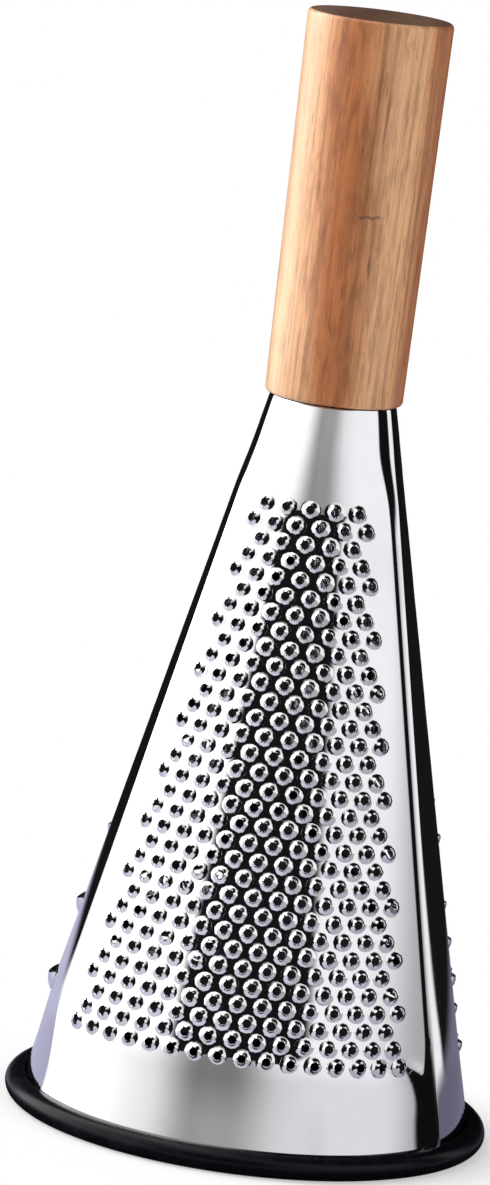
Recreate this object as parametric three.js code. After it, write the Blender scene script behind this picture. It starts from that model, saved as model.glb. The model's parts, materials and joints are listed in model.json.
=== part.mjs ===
// Cone grater: three punched steel faces round a hollow cone, a rubber foot ring and a wooden handle.
// Millimetres, +Z up. The foot stands on z = 0 and the fine face looks along -Y.
import * as THREE from 'three';

// Foot ring
const RING_RADIUS = 52.5;           // outer radius
const RING_HEIGHT = 5.3;
const RING_OUTER_LIP = 3.65;        // from the cone's lower rim to the outside of the ring
const RING_INNER_LIP = 1.6;         // rubber inside the groove
const RING_LIP_DROP = 0.9;          // the inner lip is lower than the outer one by this
const RING_EDGE = 0.6;              // chamfer at the inner bottom edge

// Cone of sheet steel
const SHEET = 0.5;                  // thickness of the steel
const CONE_LOW = 2.4;               // height of the lower rim, inside the foot ring
const CONE_HIGH = 158.6;            // height of the upper rim, under the handle
const LOW_RADIUS = RING_RADIUS - RING_OUTER_LIP;   // mean outer radius at the lower rim
const HIGH_RADIUS = 13.6;           // mean outer radius at the upper rim
const RIDGE_RISE = 0.07;            // how far a ridge stands out of the round cone, as a part of its radius
const FACE_FALL = 0.02;             // how far the middle of a face lies inside the round cone
const RIDGE_LAND = 1.2;             // flat strip on each side of a ridge line
const SEAM_GAP = 0.3;               // gap between two faces along a ridge
const FOOT_BLEND = [7, 30];         // heights between which the ridges grow out of the round foot
const NECK_BLEND = [138, 150];      // heights between which the ridges run out into the round neck

// Handle
const HANDLE_LOW_RADIUS = 14.8;
const HANDLE_HIGH_RADIUS = 15.6;
const HANDLE_LENGTH = 82.2;
const HANDLE_EDGE = 1.0;            // rounding of both ends

// Neck cap, washer and screw
const CAP_SHEET = 0.8;
const CAP_SKIRT = 7;
const WASHER_RADIUS = 6;
const WASHER_SHEET = 1;
const SCREW_RADIUS = 2.2;
const SCREW_HEAD_RADIUS = 4.2;
const SCREW_HEAD_HEIGHT = 2.6;
const SCREW_GRIP = 26;              // length of screw inside the handle
const SCREW_POINT = 4;

// Clearance between pieces that touch, and fineness of the round pieces
const CLEAR = 0.3;
const RING_SIDES = 36;
const HANDLE_SIDES = 28;
const CAP_SIDES = 24;
const SCREW_SIDES = 12;
const RING_STEPS = 6;               // steps of the ring's outer rounding, an even number
const EDGE_STEPS = 2;               // steps of the handle's rounded ends
const HEAD_STEPS = 3;               // steps of the screw's domed head

// Fineness of a face
const FOOT_COLUMN = 7.5;            // widest column of plain sheet below a pattern
const NECK_COLUMN = 5;              // widest column of plain sheet above a pattern
const EDGE_COLUMN = 10;             // widest column of plain sheet beside a pattern
const BLEND_ROWS = 3;               // rows where the ridges grow or run out
const RIDGE_ROWS = 3;               // rows between, where the cone is straight
const FRAME_GAP = 1.2;              // plain sheet between a pattern and the lines that frame it
const FRAME_BOW = 0.2;              // inward bow of those lines while they are cut into triangles
const NORMAL_STEP = 0.05;           // distance over which the sheet's direction is measured

// Punched patterns: rows of staggered cells from the top row down, kept clear of the ridges
const HOOD_EDGE = 0.6;              // sheet drawn up round the mouth of a hood
const HOOD_BROW = 0.75;             // part of a mouth that lies above its corners
const HOOD_CHEEK = 0.8;             // height of the lip towards its ends, as a part of its middle
const FINE = {
  rows: 32, pitch: 5.12, rowStep: 3.675, topRow: 137.1, edgeMargin: 5.9,
  cut: nub({ hole: 1.6, height: 0.8 }),
};
const MEDIUM = {
  rows: 12, pitch: 7.3, rowStep: 7.36, topRow: 103.5, edgeMargin: 23.5,
  cut: hood({ width: 3.8, mouth: 1.8, ramp: 2.2, height: 0.9 }),
};
const COARSE = {
  rows: 5, pitch: 14, rowStep: 16.1, topRow: 92.3, edgeMargin: 15.8,
  cut: hood({ width: 10, mouth: 3.4, ramp: 4.2, height: 1.7 }),
};

const STEEL = { color: 0xc9cacf, roughness: 0.18, metalness: 1 };
const RUBBER = { color: 0x0e0e11, roughness: 0.55, metalness: 0 };
const WOOD = { color: 0xc08a5c, roughness: 0.6, metalness: 0 };
const PLATED = { color: 0xb4b5b8, roughness: 0.35, metalness: 1 };

const { smoothstep, clamp, lerp, degToRad } = THREE.MathUtils;
const THIRD = degToRad(120);
const RIDGE_SIN = Math.sin(THIRD / 2);
const RIDGE_COS = Math.cos(THIRD / 2);
const BEARING_SLACK = degToRad(1);  // a bearing this little below the first one counts as the first
const ANGLE_SLACK = 1e-6;           // two triangles this near to even stay as they are

// A cut has a foot where it leaves the sheet and a sharp rim. Their points are [across, up, lift]
// from the middle of the cell, anticlockwise from the right.

// A nub fills its cell and is pierced at its tip by a four-sided punch.
function nub({ hole, height }) {
  const reach = hole / 2;
  return {
    foot: [],
    rim: [[reach, 0, height], [0, reach, height], [-reach, 0, height], [0, -reach, height]],
  };
}

// A hood rises along a ramp from below to a raised lip, and its mouth opens upwards.
function hood({ width, mouth, ramp, height }) {
  const corner = width / 2;
  const cheek = width / 4;
  const brow = mouth * HOOD_BROW;
  const lip = brow - mouth;
  return {
    foot: [
      [corner + HOOD_EDGE, 0, 0], [cheek, brow + HOOD_EDGE, 0], [-cheek, brow + HOOD_EDGE, 0],
      [-corner - HOOD_EDGE, 0, 0], [-cheek, lip - ramp, 0], [cheek, lip - ramp, 0],
    ],
    rim: [
      [corner, 0, 0], [cheek, brow, 0], [-cheek, brow, 0], [-corner, 0, 0],
      [-cheek, lip / 2, height * HOOD_CHEEK], [0, lip, height], [cheek, lip / 2, height * HOOD_CHEEK],
    ],
  };
}

// Mean outer radius of the cone at a height.
function coneRadius(z) {
  return lerp(LOW_RADIUS, HIGH_RADIUS, (z - CONE_LOW) / (CONE_HIGH - CONE_LOW));
}

// Radial fall of the cone for each millimetre of height.
function coneSlope() {
  return (LOW_RADIUS - HIGH_RADIUS) / (CONE_HIGH - CONE_LOW);
}

// One face at a height is a shallow arc between two ridges, with its centre behind the cone's axis.
function faceArc(z) {
  const ridged = smoothstep(z, ...FOOT_BLEND) * (1 - smoothstep(z, ...NECK_BLEND));
  const ridge = coneRadius(z) * (1 + RIDGE_RISE * ridged);
  const middle = coneRadius(z) * (1 - FACE_FALL * ridged);
  const chord = ridge * RIDGE_SIN;
  const sag = middle - ridge * RIDGE_COS;
  const radius = (chord * chord + sag * sag) / (2 * sag);
  const halfWidth = radius * Math.asin(chord / radius) - RIDGE_LAND;
  return { radius, back: radius - middle, halfWidth };
}

// Point on the outside of the front face, by its distance across from the middle line and its height.
function sheetPoint(across, z) {
  const arc = faceArc(z);
  const onArc = clamp(across, -arc.halfWidth, arc.halfWidth);
  const onLand = across - onArc;
  const turn = onArc / arc.radius;
  return new THREE.Vector3(
    arc.radius * Math.sin(turn) + onLand * RIDGE_COS,
    arc.back - arc.radius * Math.cos(turn) + Math.abs(onLand) * RIDGE_SIN,
    z,
  );
}

// Direction that points straight out of the sheet.
function sheetNormal(across, z) {
  const along = sheetPoint(across + NORMAL_STEP, z).sub(sheetPoint(across - NORMAL_STEP, z));
  const up = sheetPoint(across, z + NORMAL_STEP).sub(sheetPoint(across, z - NORMAL_STEP));
  return along.cross(up).normalize();
}

// A skin of triangles over the front face, which thicken() turns into a closed sheet.
class Skin {
  constructor() {
    this.spots = [];
    this.triangles = [];
  }

  // A spot lies at a place on the face, lifted out of it. The sheet has no thickness at a sharp spot.
  add(across, z, lift = 0, sharp = false) {
    this.spots.push({ across, z, lift, sharp });
    return this.spots.length - 1;
  }

  addRow(places, z) {
    return places.map((across) => this.add(across, z));
  }

  flat(index) {
    const { across, z } = this.spots[index];
    return new THREE.Vector2(across, z);
  }

  // Triangles turn anticlockwise, seen from outside.
  triangle(a, b, c) {
    const sideways = this.flat(b).sub(this.flat(a)).cross(this.flat(c).sub(this.flat(a)));
    this.triangles.push(sideways > 0 ? [a, b, c] : [a, c, b]);
  }

  // Strip between two rows with the same number of spots.
  strip(low, high) {
    for (let i = 0; i + 1 < low.length; i += 1) {
      this.triangle(low[i], low[i + 1], high[i + 1]);
      this.triangle(low[i], high[i + 1], high[i]);
    }
  }

  // Ring of triangles between an outer and an inner loop round one middle, both anticlockwise.
  ring(outer, inner, middle) {
    const bearing = (index) => {
      const way = this.flat(index).sub(middle);
      return (way.angle() + BEARING_SLACK) % (2 * Math.PI);
    };
    const turns = [
      ...outer.map((index, at) => ({ angle: bearing(index), outer: true, at })),
      ...inner.map((index, at) => ({ angle: bearing(index), outer: false, at })),
    ].sort((one, two) => one.angle - two.angle);
    let lastOuter = outer.length - 1;
    let lastInner = inner.length - 1;
    for (const turn of turns) {
      if (turn.outer) {
        this.triangle(outer[lastOuter], outer[turn.at], inner[lastInner]);
        lastOuter = turn.at;
      } else {
        this.triangle(outer[lastOuter], inner[turn.at], inner[lastInner]);
        lastInner = turn.at;
      }
    }
  }

  // Edges that only one triangle uses, each in that triangle's direction.
  openEdges() {
    const used = new Set();
    const edges = [];
    for (const [a, b, c] of this.triangles) {
      edges.push([a, b], [b, c], [c, a]);
    }
    for (const [from, to] of edges) {
      used.add(`${from}>${to}`);
    }
    return edges.filter(([from, to]) => !used.has(`${to}>${from}`));
  }

  // Closed loops of the open edges that touch no sharp spot.
  plainLoops() {
    const next = new Map();
    for (const [from, to] of this.openEdges()) {
      if (!this.spots[from].sharp && !this.spots[to].sharp) {
        next.set(from, to);
      }
    }
    const loops = [];
    while (next.size > 0) {
      const loop = [];
      let at = next.keys().next().value;
      while (next.has(at)) {
        const to = next.get(at);
        loop.push(at);
        next.delete(at);
        at = to;
      }
      loops.push(loop);
    }
    return loops;
  }

  // Outside and inside skins, with walls along the open edges.
  thicken() {
    const outside = this.spots.map(({ across, z, lift }) => (
      sheetPoint(across, z).addScaledVector(sheetNormal(across, z), lift)
    ));
    const inside = this.spots.map(({ across, z, sharp }, index) => (
      sharp ? outside[index] : outside[index].clone().addScaledVector(sheetNormal(across, z), -SHEET)
    ));
    const corners = [];
    for (const [a, b, c] of this.triangles) {
      corners.push(outside[a], outside[b], outside[c], inside[c], inside[b], inside[a]);
    }
    for (const [from, to] of this.openEdges()) {
      if (!this.spots[from].sharp) {
        corners.push(outside[to], outside[from], inside[from]);
      }
      if (!this.spots[to].sharp) {
        corners.push(outside[to], inside[from], inside[to]);
      }
    }
    const geometry = new THREE.BufferGeometry().setFromPoints(corners);
    geometry.computeVertexNormals();
    return geometry;
  }
}

// Cells of a staggered pattern. Step counts half pitches from the middle line, odd in every second row.
function patternCells({ rows, pitch, rowStep, topRow, edgeMargin }) {
  const cells = new Map();
  for (let row = 0; row < rows; row += 1) {
    const z = topRow - row * rowStep;
    const reach = faceArc(z).halfWidth - edgeMargin;
    const most = Math.floor(reach / (pitch / 2));
    for (let step = -most; step <= most; step += 1) {
      if (Math.abs(step % 2) === row % 2) {
        cells.set(`${row},${step}`, { row, step, across: step * pitch / 2, z });
      }
    }
  }
  return cells;
}

// Every cell is a hexagon between the midpoints to its six neighbours, with a cut in its middle.
// Three cells that meet leave a small flat triangle of sheet between them.
function punch(skin, pattern) {
  const { pitch, rowStep, cut } = pattern;
  const cells = patternCells(pattern);
  const ways = [[0, 2], [-1, 1], [-1, -1], [0, -2], [1, -1], [1, 1]];
  const shared = new Map();
  const midpoint = (cell, [down, right]) => {
    const key = `${2 * cell.row + down},${2 * cell.step + right}`;
    if (!shared.has(key)) {
      shared.set(key, skin.add(cell.across + right * pitch / 4, cell.z - down * rowStep / 2));
    }
    return shared.get(key);
  };
  for (const cell of cells.values()) {
    const place = (points, sharp) => points.map(([right, up, lift]) => (
      skin.add(cell.across + right, cell.z + up, lift, sharp)
    ));
    const border = ways.map((way) => midpoint(cell, way));
    const loops = [border, place(cut.foot, false), place(cut.rim, true)].filter((loop) => loop.length > 0);
    for (let i = 0; i + 1 < loops.length; i += 1) {
      skin.ring(loops[i], loops[i + 1], new THREE.Vector2(cell.across, cell.z));
    }
    for (const side of [-1, 1]) {
      const beside = cells.get(`${cell.row},${cell.step + 2}`);
      const between = cells.get(`${cell.row + side},${cell.step + 1}`);
      if (beside && between) {
        skin.triangle(midpoint(cell, [0, 2]), midpoint(beside, [side, -1]), midpoint(cell, [side, 1]));
      }
    }
  }
}

// Plain sheet between the frame and the pattern. The frame's lines are bowed inwards a little here,
// so that no three of their points lie in line.
function fillFrame(skin, frame, loops) {
  const shape = frame.map((index) => skin.flat(index));
  const box = new THREE.Box2().setFromPoints(shape);
  const middle = box.getCenter(new THREE.Vector2());
  const half = box.getSize(new THREE.Vector2()).divideScalar(2);
  const bowed = shape.map((point) => {
    const up = (point.y - middle.y) / half.y;
    const widest = Math.max(...shape.filter(({ y }) => y === point.y).map(({ x }) => x));
    const right = point.x / widest;
    return new THREE.Vector2(
      point.x - FRAME_BOW * right * (1 - up * up),
      point.y - FRAME_BOW * up * (1 - right * right),
    );
  });
  const holes = loops.map((loop) => loop.map((index) => skin.flat(index)));
  const points = [...bowed, ...holes.flat()];
  const spots = [...frame, ...loops.flat()];
  const triangles = evenOut(THREE.ShapeUtils.triangulateShape(bowed, holes), points);
  for (const corners of triangles) {
    skin.triangle(...corners.map((at) => spots[at]));
  }
}

// Swaps the shared edge of two triangles wherever that makes both less slender.
function evenOut(triangles, points) {
  const angle = (at, one, two) => {
    const first = points[one].clone().sub(points[at]);
    return first.angleTo(points[two].clone().sub(points[at]));
  };
  const swapOne = () => {
    const across = new Map();
    triangles.forEach(([a, b, c], index) => {
      across.set(`${a}>${b}`, { index, a, b, tip: c });
      across.set(`${b}>${c}`, { index, a: b, b: c, tip: a });
      across.set(`${c}>${a}`, { index, a: c, b: a, tip: b });
    });
    for (const { index, a, b, tip } of across.values()) {
      const other = across.get(`${b}>${a}`);
      if (other && angle(tip, a, b) + angle(other.tip, a, b) > Math.PI + ANGLE_SLACK) {
        triangles[index] = [a, other.tip, tip];
        triangles[other.index] = [other.tip, b, tip];
        return true;
      }
    }
    return false;
  };
  while (swapOne());
  return triangles;
}

// Evenly spaced numbers from one to another, both included.
function spread(from, to, steps) {
  return Array.from({ length: steps + 1 }, (_, at) => lerp(from, to, at / steps));
}

// Heights of the sheet's rows from one limit to another.
function levels(low, high) {
  const wanted = [
    ...spread(...FOOT_BLEND, BLEND_ROWS),
    ...spread(FOOT_BLEND[1], NECK_BLEND[0], RIDGE_ROWS).slice(1, -1),
    ...spread(...NECK_BLEND, BLEND_ROWS),
  ];
  return [low, ...wanted.filter((z) => z > low + FRAME_GAP && z < high - FRAME_GAP), high];
}

// One grating face: plain sheet at the foot, the neck and both edges, and the pattern in the middle.
function grating(pattern) {
  const { rows, pitch, rowStep, topRow, edgeMargin } = pattern;
  const skin = new Skin();
  punch(skin, pattern);
  const loops = skin.plainLoops();
  const frameHigh = topRow + rowStep / 2 + FRAME_GAP;
  const frameLow = topRow - (rows - 0.5) * rowStep - FRAME_GAP;
  const plain = edgeMargin - pitch / 2 - FRAME_GAP;
  const edgeColumns = Math.ceil(plain / EDGE_COLUMN);
  const edge = (z) => {
    const { halfWidth } = faceArc(z);
    const strip = plain * Math.min(1, halfWidth / faceArc(frameHigh).halfWidth);
    return [...spread(halfWidth - strip, halfWidth, edgeColumns), halfWidth + RIDGE_LAND - SEAM_GAP / 2];
  };
  const block = (low, high, columns) => levels(low, high).map((z) => {
    const right = edge(z);
    const left = right.map((place) => -place).reverse();
    return skin.addRow([...left, ...spread(-right[0], right[0], columns).slice(1, -1), ...right], z);
  });
  const foot = block(CONE_LOW, frameLow, Math.ceil(2 * edge(CONE_LOW)[0] / FOOT_COLUMN));
  const neck = block(frameHigh, CONE_HIGH, Math.ceil(2 * edge(frameHigh)[0] / NECK_COLUMN));
  for (const rowsOf of [foot, neck]) {
    rowsOf.slice(1).forEach((row, at) => skin.strip(rowsOf[at], row));
  }
  const low = foot.at(-1);
  const high = neck[0];
  const width = edgeColumns + 2;
  const between = levels(frameLow, frameHigh).slice(1, -1);
  const rightRows = [low.slice(-width), ...between.map((z) => skin.addRow(edge(z), z)), high.slice(-width)];
  const mirror = (z) => edge(z).map((place) => -place).reverse();
  const leftRows = [low.slice(0, width), ...between.map((z) => skin.addRow(mirror(z), z)), high.slice(0, width)];
  for (const side of [leftRows, rightRows]) {
    side.slice(1).forEach((row, at) => skin.strip(side[at], row));
  }
  const frame = [
    ...low.slice(width - 1, 1 - width),
    ...rightRows.slice(1, -1).map((row) => row[0]),
    ...high.slice(width - 1, 1 - width).reverse(),
    ...leftRows.slice(1, -1).map((row) => row.at(-1)).reverse(),
  ];
  fillFrame(skin, frame, loops);
  return skin.thicken();
}

// Solid turned about the Z axis from a profile of [radius, height] points.
function turned(profile, sides) {
  const points = profile.map(([radius, z]) => new THREE.Vector2(radius, z));
  return new THREE.LatheGeometry(points, sides).rotateX(Math.PI / 2);
}

// Rubber ring with a round outside, a flat underside and a slanting groove for the cone's lower rim.
function footRing() {
  const wall = SHEET * Math.hypot(1, coneSlope());
  const floor = CONE_LOW - SHEET * coneSlope() - CLEAR;
  const outerTop = RING_HEIGHT;
  const innerTop = RING_HEIGHT - RING_LIP_DROP;
  const outside = (z) => coneRadius(z) + CLEAR;
  const inside = (z) => coneRadius(z) - wall - CLEAR;
  const bore = inside(innerTop) - RING_INNER_LIP;
  const round = RING_HEIGHT / 2;
  const bulge = spread(-90, 90, RING_STEPS).map((angle) => [
    RING_RADIUS - round + round * Math.cos(degToRad(angle)),
    round + round * Math.sin(degToRad(angle)),
  ]);
  return turned([
    [bore + RING_EDGE, 0],
    ...bulge,
    [outside(outerTop), outerTop],
    [outside(floor), floor],
    [inside(floor), floor],
    [inside(innerTop), innerTop],
    [bore, innerTop],
    [bore, RING_EDGE],
    [bore + RING_EDGE, 0],
  ], RING_SIDES);
}

// Tapered handle with rounded ends and a blind bore for the screw.
function handle() {
  const low = CONE_HIGH + CLEAR;
  const high = low + HANDLE_LENGTH;
  const bore = SCREW_RADIUS + CLEAR;
  const boreEnd = low + SCREW_GRIP;
  const corner = (radius, z, from) => spread(from, from + 90, EDGE_STEPS).map((angle) => [
    radius - HANDLE_EDGE + HANDLE_EDGE * Math.cos(degToRad(angle)),
    z + HANDLE_EDGE * Math.sin(degToRad(angle)),
  ]);
  return turned([
    [0, boreEnd + CLEAR],
    [bore, boreEnd - SCREW_POINT],
    [bore, low],
    ...corner(HANDLE_LOW_RADIUS, low + HANDLE_EDGE, -90),
    ...corner(HANDLE_HIGH_RADIUS, high - HANDLE_EDGE, 0),
    [0, high],
  ], HANDLE_SIDES);
}

// Shallow cup inside the neck, with its skirt along the cone and a hole for the screw.
function neckCap() {
  const wall = SHEET * Math.hypot(1, coneSlope());
  const outer = (z) => coneRadius(z) - wall - CLEAR;
  const low = CONE_HIGH - CAP_SKIRT;
  const under = CONE_HIGH - CAP_SHEET;
  const hole = SCREW_RADIUS + CLEAR;
  return turned([
    [outer(low) - CAP_SHEET, low],
    [outer(low), low],
    [outer(CONE_HIGH), CONE_HIGH],
    [hole, CONE_HIGH],
    [hole, under],
    [outer(under) - CAP_SHEET, under],
    [outer(low) - CAP_SHEET, low],
  ], CAP_SIDES);
}

// Underside of the neck cap, where the washer sits.
function washerTop() {
  return CONE_HIGH - CAP_SHEET - CLEAR;
}

function washer() {
  const high = washerTop();
  const low = high - WASHER_SHEET;
  const hole = SCREW_RADIUS + CLEAR;
  return turned([
    [hole, low],
    [WASHER_RADIUS, low],
    [WASHER_RADIUS, high],
    [hole, high],
    [hole, low],
  ], SCREW_SIDES);
}

// Screw with a domed head below the washer and its point in the handle.
function screw() {
  const seat = washerTop() - WASHER_SHEET - CLEAR;
  const tip = CONE_HIGH + CLEAR + SCREW_GRIP;
  const dome = spread(-90, 0, HEAD_STEPS).slice(1).map((angle) => [
    SCREW_HEAD_RADIUS * Math.cos(degToRad(angle)),
    seat + SCREW_HEAD_HEIGHT * Math.sin(degToRad(angle)),
  ]);
  return turned([
    [0, seat - SCREW_HEAD_HEIGHT],
    ...dome,
    [SCREW_RADIUS, seat],
    [SCREW_RADIUS, tip - SCREW_POINT],
    [0, tip],
  ], SCREW_SIDES);
}

function piece(name, geometry, finish, turn = 0) {
  const mesh = new THREE.Mesh(geometry, new THREE.MeshStandardMaterial(finish));
  mesh.name = name;
  mesh.rotation.z = turn;
  return mesh;
}

const grater = new THREE.Group();
grater.name = 'cone_grater';
grater.add(
  piece('fine_face', grating(FINE), STEEL),
  piece('medium_face', grating(MEDIUM), STEEL, THIRD),
  piece('coarse_face', grating(COARSE), STEEL, -THIRD),
  piece('foot_ring', footRing(), RUBBER),
  piece('handle', handle(), WOOD),
  piece('neck_cap', neckCap(), PLATED),
  piece('screw_washer', washer(), PLATED),
  piece('handle_screw', screw(), PLATED),
);

export default grater;
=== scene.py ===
"""Looks of a cone grater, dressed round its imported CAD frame.

Lengths are millimetres in the classes and metres in the meshes. The fine face looks along -Y.
"""

import json
import logging
import math
from abc import ABC, abstractmethod
from dataclasses import dataclass, field
from enum import Enum
from typing import Any, Optional, Sequence, Union

import bpy
from mathutils import Euler, Matrix, Vector
from mathutils.geometry import delaunay_2d_cdt

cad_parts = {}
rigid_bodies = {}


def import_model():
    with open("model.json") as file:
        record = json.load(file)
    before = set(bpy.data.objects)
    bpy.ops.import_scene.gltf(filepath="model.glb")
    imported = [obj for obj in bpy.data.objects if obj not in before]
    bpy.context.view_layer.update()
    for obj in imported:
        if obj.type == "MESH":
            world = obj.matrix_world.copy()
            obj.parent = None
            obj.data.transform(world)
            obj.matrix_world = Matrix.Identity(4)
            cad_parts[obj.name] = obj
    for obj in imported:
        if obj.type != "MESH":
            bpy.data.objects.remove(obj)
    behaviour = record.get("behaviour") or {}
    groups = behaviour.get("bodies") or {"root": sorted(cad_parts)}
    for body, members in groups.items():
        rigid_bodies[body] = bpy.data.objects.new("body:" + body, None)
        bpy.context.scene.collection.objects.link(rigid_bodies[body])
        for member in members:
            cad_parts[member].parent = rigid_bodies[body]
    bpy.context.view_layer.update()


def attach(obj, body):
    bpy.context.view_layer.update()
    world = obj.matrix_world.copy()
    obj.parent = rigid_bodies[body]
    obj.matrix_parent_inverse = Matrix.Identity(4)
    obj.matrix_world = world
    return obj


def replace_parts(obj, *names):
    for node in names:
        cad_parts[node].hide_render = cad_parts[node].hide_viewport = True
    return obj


LOG = logging.getLogger("cone_grater")
MM = 0.001
BODY = "root"
TOUCH = 0.001  # millimetres within which two places count as one
SMOOTH = {"interpolation_type": "SMOOTHSTEP"}
CREASE = 35.0  # degrees past which an edge stays sharp
WHOLE_HULL = 0  # kind of triangulation that fills the hull of all points

Pair = tuple[float, float]
Triple = tuple[float, float, float]
Colour = tuple[float, float, float, float]


class Slot(Enum):
    """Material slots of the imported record."""

    STEEL = "steel"
    RUBBER = "rubber"
    WOOD = "wood"
    PLATED = "plated"


def clamp(value: float, low: float, high: float) -> float:
    """Keeps a number between two limits."""
    return min(high, max(low, value))


def ease(value: float, low: float, high: float) -> float:
    """Rises smoothly from 0 at one number to 1 at another."""
    share = clamp((value - low) / (high - low), 0.0, 1.0)
    return share * share * (3 - 2 * share)


def spread(start: float, stop: float, steps: int) -> list[float]:
    """Evenly spaced numbers from one to another, both included."""
    return [start + (stop - start) * at / steps for at in range(steps + 1)]


def tabled(at: float, table: Sequence[Pair]) -> float:
    """Value of a table of straight pieces, held at both ends.

    Args:
        at: Place in the table.
        table: Places and values, in rising order of the places.

    Returns:
        The value at that place.
    """
    for (near, first), (far, second) in zip(table, table[1:]):
        if at < far:
            return first + (second - first) * clamp((at - near) / (far - near), 0, 1)
    return table[-1][1]


def grey(level: float) -> Colour:
    """A neutral colour."""
    return (level, level, level, 1.0)


# Meshes


@dataclass
class Shell:
    """Points and faces of one mesh in millimetres, with the corner normals where they are known.

    Attributes:
        points: Places of the vertices.
        faces: Vertex numbers of each face, anticlockwise seen from outside.
        normals: One normal for each face corner, or nothing.
    """

    points: list[Vector] = field(default_factory=list)
    faces: list[tuple[int, ...]] = field(default_factory=list)
    normals: list[Vector] = field(default_factory=list)

    def to_object(self, name: str, turn: float = 0.0, crease: float = CREASE) -> bpy.types.Object:
        """Makes a smooth mesh object with its place in its mesh.

        Args:
            name: Name of the object.
            turn: Turn about Z in radians.
            crease: Angle of the sharp edges in degrees, used if no normals are known.

        Returns:
            The object, linked to the scene.
        """
        mesh = bpy.data.meshes.new(name)
        mesh.from_pydata([tuple(point * MM) for point in self.points], [], self.faces)
        around = Matrix.Rotation(turn, 4, "Z")
        mesh.transform(around)
        mesh.polygons.foreach_set("use_smooth", [True] * len(mesh.polygons))
        if self.normals:
            mesh.normals_split_custom_set([tuple(around @ normal) for normal in self.normals])
        else:
            mesh.set_sharp_from_angle(angle=math.radians(crease))
        made = bpy.data.objects.new(name, mesh)
        bpy.context.scene.collection.objects.link(made)
        return made


def turned(profile: Sequence[Pair], sides: int, closed: bool = False) -> Shell:
    """Turns a profile about the Z axis.

    Args:
        profile: Points of radius and height, anticlockwise round the material.
        sides: Number of faces round the axis.
        closed: Whether the last point joins the first.

    Returns:
        The turned shell.
    """
    shell = Shell()
    rings: list[list[int]] = []
    for radius, height in profile:
        first = len(shell.points)
        count = 1 if radius == 0 else sides
        for at in range(count):
            angle = 2 * math.pi * at / sides
            flat = (radius * math.cos(angle), radius * math.sin(angle))
            shell.points.append(Vector((*flat, height)))
        rings.append([first + at % count for at in range(sides)])
    pairs = list(zip(rings, rings[1:]))
    if closed:
        pairs.append((rings[-1], rings[0]))
    for low, high in pairs:
        for at in range(sides):
            after = (at + 1) % sides
            corners = (low[at], low[after], high[after], high[at])
            shell.faces.append(tuple(dict.fromkeys(corners)))
    return shell


def rounded(centre: Pair, radius: float, start: float, stop: float, steps: int) -> list[Pair]:
    """Points of an arc in a profile, from one angle in degrees to another in even steps."""
    angles = [math.radians(angle) for angle in spread(start, stop, steps)]
    return [(centre[0] + radius * math.cos(a), centre[1] + radius * math.sin(a)) for a in angles]


def settle(piece: bpy.types.Object) -> None:
    """Turns a piece with modifiers into a plain mesh.

    Args:
        piece: The piece, which loses its modifiers.
    """
    graph = bpy.context.evaluated_depsgraph_get()
    mesh = bpy.data.meshes.new_from_object(piece.evaluated_get(graph), depsgraph=graph)
    piece.modifiers.clear()
    piece.data = mesh


# Node trees

Value = Union[float, int, str, Sequence[float], "Wire", bpy.types.ID]


class Wire:
    """An output socket whose operators add Math nodes to its tree."""

    def __init__(self, graph: "Graph", socket: bpy.types.NodeSocket) -> None:
        """Keeps the socket and the graph that it belongs to."""
        self.graph = graph
        self.socket = socket

    def __add__(self, other: Value) -> "Wire":
        """Sum."""
        return self.graph.math("ADD", self, other)

    def __radd__(self, other: Value) -> "Wire":
        """Sum with a number on the left."""
        return self.graph.math("ADD", other, self)

    def __sub__(self, other: Value) -> "Wire":
        """Difference."""
        return self.graph.math("SUBTRACT", self, other)

    def __rsub__(self, other: Value) -> "Wire":
        """Difference from a number on the left."""
        return self.graph.math("SUBTRACT", other, self)

    def __mul__(self, other: Value) -> "Wire":
        """Product."""
        return self.graph.math("MULTIPLY", self, other)

    def __truediv__(self, other: Value) -> "Wire":
        """Quotient."""
        return self.graph.math("DIVIDE", self, other)

    def __neg__(self) -> "Wire":
        """Opposite."""
        return self.graph.math("MULTIPLY", self, -1.0)

    def rise(self, low: float, high: float) -> "Wire":
        """Rises smoothly from 0 at one value to 1 at another."""
        ends = {"Value": self, "From Min": low, "From Max": high}
        return self.graph.wire("ShaderNodeMapRange", SMOOTH, ends, "Result")

    def band(self, low: float, high: float, soft: float) -> "Wire":
        """Is 1 between two values and 0 outside them, with a change of some width at each end."""
        half = soft / 2
        return self.rise(low - half, low + half) * (1 - self.rise(high - half, high + half))


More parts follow.
